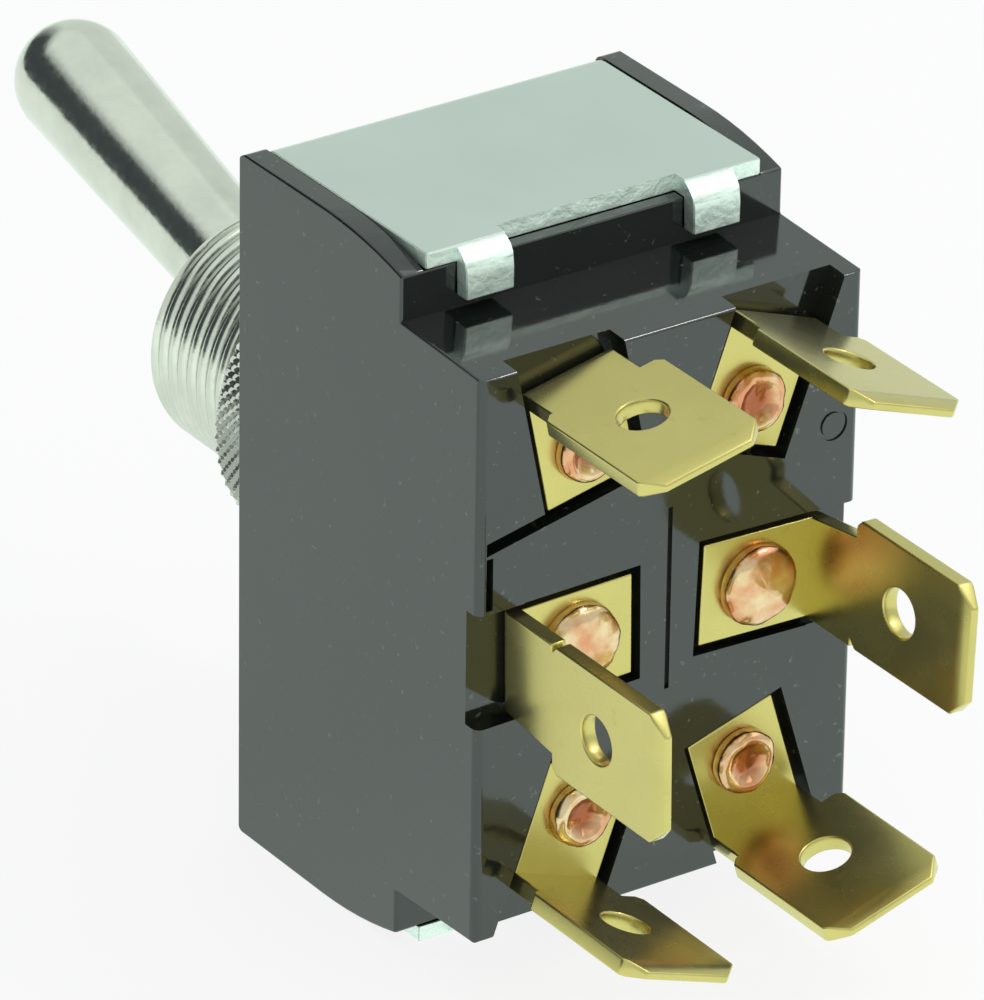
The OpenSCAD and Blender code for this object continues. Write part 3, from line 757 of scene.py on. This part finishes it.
class SWITCH_OT_lever(bpy.types.Operator):
    """Bat lever, turned and polished"""

    bl_idname = "switch.lever"
    bl_label = "Lever"

    def execute(self, context):
        tip, ball, shank = 2.9 * MM, 3.9 * MM, 1.6 * MM
        tip_centre, shank_end, chamfer = -22.75 * MM, 15.2 * MM, 0.2 * MM
        stations = [(r, tip_centre - z) for r, z in stations_of_arc(tip, 0, 0, 88, 20)]
        # the bat narrows from its tip to its neck
        stations += [(2.82 * MM, -19 * MM), (2.7 * MM, -14.5 * MM), (2.58 * MM, -10 * MM),
                     (2.5 * MM, -6.6 * MM), (2.38 * MM, -4.2 * MM)]
        stations += [(r, -z) for r, z in stations_of_arc(ball, 0, 37.5, 155.5, 22)]
        stations += [(shank, stations[-1][1]), (shank, shank_end - chamfer),
                     (shank - chamfer, shank_end), (HAIR, shank_end)]
        obj = turned("lever_bat", stations, around=128)
        lay_along_y(obj, LEVER_TILT, PIVOT_Y)
        smooth(obj, 30)
        tone = tuple(context.scene.switch_colours.nickel)
        finish_piece(obj, "lever", nickel_plate("nickel_polished", tone, 0.15))
        return {"FINISHED"}


class SWITCH_OT_terminals(bpy.types.Operator):
    """Six brass blade terminals"""

    bl_idname = "switch.terminals"
    bl_label = "Terminals"

    def execute(self, context):
        sizes, colours = context.scene.switch_sizes, context.scene.switch_colours
        brass = plain_brass(tuple(colours.brass))
        for side in SIDES:
            for row in ROWS:
                node = f"terminal_{side}_{row}"
                obj = copy_of_node(node, f"blade_{side}_{row}")
                round_edges(obj, sizes.blade_edge, segments=2)
                finish_piece(obj, node, brass)
        return {"FINISHED"}


class SWITCH_OT_rivets(bpy.types.Operator):
    """Six headed copper rivets"""

    bl_idname = "switch.rivets"
    bl_label = "Rivets"
    # outlines of a head: share of its radius, and height in millimetres
    domed = ((0.97, 0.0), (1.0, 0.08), (1.0, 0.42), (0.96, 0.58), (0.86, 0.73), (0.7, 0.84),
             (0.5, 0.93), (0.25, 0.98), (0.0, 1.0))
    dished = ((0.97, 0.0), (1.0, 0.08), (1.0, 0.45), (0.95, 0.6), (0.86, 0.7), (0.77, 0.75),
              (0.68, 0.73), (0.58, 0.62), (0.46, 0.47), (0.3, 0.39), (0.0, 0.35))
    shank = 1.0 * MM

    def execute(self, context):
        copper = headed_copper(tuple(context.scene.switch_colours.copper))
        hammer = bpy.data.textures.new("hammer_marks", "CLOUDS")
        hammer.noise_scale = 0.9 * MM
        hammer.noise_depth = 2
        for side in SIDES:
            for row in ROWS:
                node = f"rivet_{side}_{row}"
                outline = self.domed if row == "middle" else self.dished
                obj, face = self.head(node, f"rivet_head_{side}_{row}", outline)
                group = obj.vertex_groups.new(name="head")
                group.add([v.index for v in obj.data.vertices if v.co.y > face + 0.2 * MM],
                          1.0, "REPLACE")
                apply_modifier(obj, "DISPLACE", texture=hammer, strength=0.22 * MM,
                               mid_level=0.62, texture_coords="LOCAL", vertex_group="head")
                smooth(obj, 50)
                finish_piece(obj, node, copper)
        return {"FINISHED"}

    def head(self, node, name, outline):
        """A rivet in its place, with where its head begins and its recess marked."""
        low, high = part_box(node)
        middle = (low + high) / 2
        wide = (high.x - low.x) / 2
        face = high.y - max(rise for share, rise in outline) * MM
        stations = [(HAIR, low.y - face), (self.shank, low.y - face), (self.shank, 0.0)]
        stations += [(max(share * wide, HAIR), rise * MM) for share, rise in outline]
        obj = turned(name, stations, around=48)
        obj.rotation_euler = (math.radians(-90), 0, 0)
        obj.location = (middle.x, face, middle.z)
        settle(obj)
        # darkened fully within a third of the dish's radius, and not at all from 0.6 of it
        darkened = obj.data.attributes.new("recess", "FLOAT", "POINT")
        for mark, vertex in zip(darkened.data, obj.data.vertices):
            out = math.hypot(vertex.co.x - middle.x, vertex.co.z - middle.z) / wide
            recessed = outline is self.dished and vertex.co.y > face
            mark.value = max(0.0, min(1.0, 2.2 - 3.6 * out)) * recessed
        return obj, face


class SWITCH_OT_springs(bpy.types.Operator):
    """Plunger springs, which shorten as the plungers slide"""
    # Plunger springs, each copied from its frame node with a plain wire finish

    bl_idname = "switch.springs"
    bl_label = "Springs"

    def execute(self, context):
        wire = plain_finish("spring_wire", (0.62, 0.63, 0.64), 1.0, 0.22)
        for side in SIDES:
            node, joint = f"spring_{side}", f"plunger_slide_{side}"
            coil = loose_copy(node, f"coil_{side}")
            settle(coil)
            finish_piece(coil, node, wire)
            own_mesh(coil)
        return {"FINISHED"}


class SWITCH_OT_inner(bpy.types.Operator):
    """Finishes of the pieces inside the case"""

    bl_idname = "switch.inner"
    bl_label = "Inner pieces"

    def execute(self, context):
        bright = plain_finish("bright_steel", (0.62, 0.63, 0.64), 1.0, 0.22)
        silver = plain_finish("contact_silver", (0.82, 0.81, 0.78), 1.0, 0.25)
        arm = plain_finish("arm_copper", (0.70, 0.40, 0.25), 1.0, 0.28)
        cradle = plain_finish("cradle_brass", (0.60, 0.52, 0.24), 1.0, 0.3)
        nylon = plain_finish("natural_nylon", (0.80, 0.77, 0.66), 0.0, 0.42)
        # by the first word of a node's name: "lever" is the lever's pin here
        finishes = {"lever": bright, "plunger": bright, "moving": silver,
                    "fixed": silver, "rocker": arm, "cradle": cradle, "actuator": nylon}
        for node, obj in NODES.items():
            first = node.split("_")[0]
            if obj.hide_render or first not in finishes:
                continue
            obj.data.materials.clear()
            obj.data.materials.append(finishes[first])
        return {"FINISHED"}


class SWITCH_OT_stage(bpy.types.Operator):
    """Floor, lights and camera"""

    bl_idname = "switch.stage"
    bl_label = "Stage"

    def execute(self, context):
        scene = context.scene
        scene.view_settings.view_transform = "Standard"
        deselect()
        bpy.ops.mesh.primitive_plane_add(size=6, location=(0, 0, CAD_BOX[0].z - 0.02 * MM))
        floor = context.object
        floor.name = "studio_floor"
        floor.data.materials.append(self.light_table())
        self.light_room(scene)
        for name, spot, size, power in (
                ("overhead_softbox", (0.1, -0.15, 0.8), 1.2, 0.5),
                ("rear_softbox", (-0.4, 0.22, 0.65), 0.8, 1.5),
                ("flash_lamp", (-0.4, 0.28, 0.65), 0.09, 0.7)):
            lamp = bpy.data.lights.new(name, "AREA")
            lamp.energy = power
            lamp.size = size
            box = bpy.data.objects.new(name, lamp)
            scene.collection.objects.link(box)
            box.location = spot
            box.rotation_euler = (-Vector(spot)).to_track_quat("-Z", "Y").to_euler()
        scene.camera = self.camera(scene)
        return {"FINISHED"}

    def camera(self, scene):
        """A long lens behind the switch, above it and on its left."""
        azimuth, elevation, roll = (math.radians(v) for v in (145.41, 27.53, 0.85))
        distance = 452.2 * MM
        target = Vector((-1.82, 2.73, -2.34)) * MM
        back = Vector((math.sin(azimuth) * math.cos(elevation),
                       -math.cos(azimuth) * math.cos(elevation), math.sin(elevation)))
        right = Vector((math.cos(azimuth), math.sin(azimuth), 0))
        up = back.cross(right)
        rolled = right * math.cos(roll) + up * math.sin(roll)
        lens = bpy.data.cameras.new("main_lens")
        lens.sensor_fit = "HORIZONTAL"
        lens.sensor_width = 36.0
        lens.lens = 365.8537
        camera = bpy.data.objects.new("main_camera", lens)
        scene.collection.objects.link(camera)
        axes = Matrix((rolled, back.cross(rolled), back)).transposed().to_4x4()
        camera.matrix_world = Matrix.Translation(target + back * distance) @ axes
        return camera

    def light_table(self):
        """A lit white table: plain white to look at, faintly green in what it lights."""
        material, nodes, links, bsdf = shader("light_table")
        bsdf.inputs["Base Color"].default_value = (0.8, 0.8, 0.8, 1)
        bsdf.inputs["Roughness"].default_value = 0.9
        # painted light: the table's glow is brighter behind the switch than in front of it
        behind = spread_of(nodes, links, axes_of(nodes, links, "Object")["Y"],
                           0.0, 1.0, -5 * MM, 30 * MM)
        lit = two_tone(nodes, links, behind, (1.0, 1.13, 1.05), (1.22, 1.4, 1.3))
        seen = nodes.new("ShaderNodeLightPath").outputs["Is Camera Ray"]
        glow = nodes.new("ShaderNodeEmission")
        links.new(laid_over(nodes, links, lit, seen, (1.0, 1.0, 1.0)), glow.inputs["Color"])
        glow_share = 0.86
        mix = nodes.new("ShaderNodeMixShader")
        mix.inputs[0].default_value = glow_share
        links.new(bsdf.outputs[0], mix.inputs[1])
        links.new(glow.outputs[0], mix.inputs[2])
        links.new(mix.outputs[0], nodes["Material Output"].inputs["Surface"])
        return material

    def light_room(self, scene):
        """A pale room with a dark opening low on one side, which the round metal mirrors."""
        world = bpy.data.worlds.new("pale_room")
        scene.world = world
        world.use_nodes = True
        nodes, links = world.node_tree.nodes, world.node_tree.links
        back = nodes["Background"]
        place = nodes.new("ShaderNodeTexCoord")
        toward = nodes.new("ShaderNodeVectorMath")
        toward.operation = "DOT_PRODUCT"
        toward.inputs[1].default_value = Vector((0.76, -0.64, 0.0)).normalized()
        links.new(place.outputs["Generated"], toward.inputs[0])
        side = spread_of(nodes, links, toward.outputs["Value"], 0.0, 1.0, 0.3, 0.6)
        below = spread_of(nodes, links, axes_of(nodes, links, "Generated")["Z"],
                          1.0, 0.0, 0.6, 0.8)
        dark = maths(nodes, links, "MULTIPLY", below, side)
        links.new(two_tone(nodes, links, dark, (0.78, 0.88, 0.82),
                           (0.06, 0.075, 0.08)), back.inputs["Color"])
        back.inputs["Strength"].default_value = 1.0


STEPS = ("case", "steel_frame", "bushing", "nuts", "lever", "terminals", "rivets", "springs",
         "inner", "stage")


class SWITCH_PT_pieces(bpy.types.Panel):
    """Lists the pieces that can be built"""

    bl_label = "Panel switch"
    bl_idname = "SWITCH_PT_pieces"
    bl_space_type = "VIEW_3D"
    bl_region_type = "UI"
    bl_category = "Switch"

    def draw(self, context):
        for name in STEPS:
            self.layout.operator(f"switch.{name}")


CLASSES = (SwitchSizes, SwitchColours, SWITCH_OT_case, SWITCH_OT_steel_frame, SWITCH_OT_bushing,
           SWITCH_OT_nuts, SWITCH_OT_lever, SWITCH_OT_terminals, SWITCH_OT_rivets,
           SWITCH_OT_springs, SWITCH_OT_inner, SWITCH_OT_stage, SWITCH_PT_pieces)


def register():
    for cls in CLASSES:
        bpy.utils.register_class(cls)
    bpy.types.Scene.switch_sizes = bpy.props.PointerProperty(type=SwitchSizes)
    bpy.types.Scene.switch_colours = bpy.props.PointerProperty(type=SwitchColours)


def unregister():
    del bpy.types.Scene.switch_colours
    del bpy.types.Scene.switch_sizes
    for cls in reversed(CLASSES):
        bpy.utils.unregister_class(cls)


def main():
    register()
    for name in STEPS:
        getattr(bpy.ops.switch, name)()


if __name__ == "__main__":
    main()
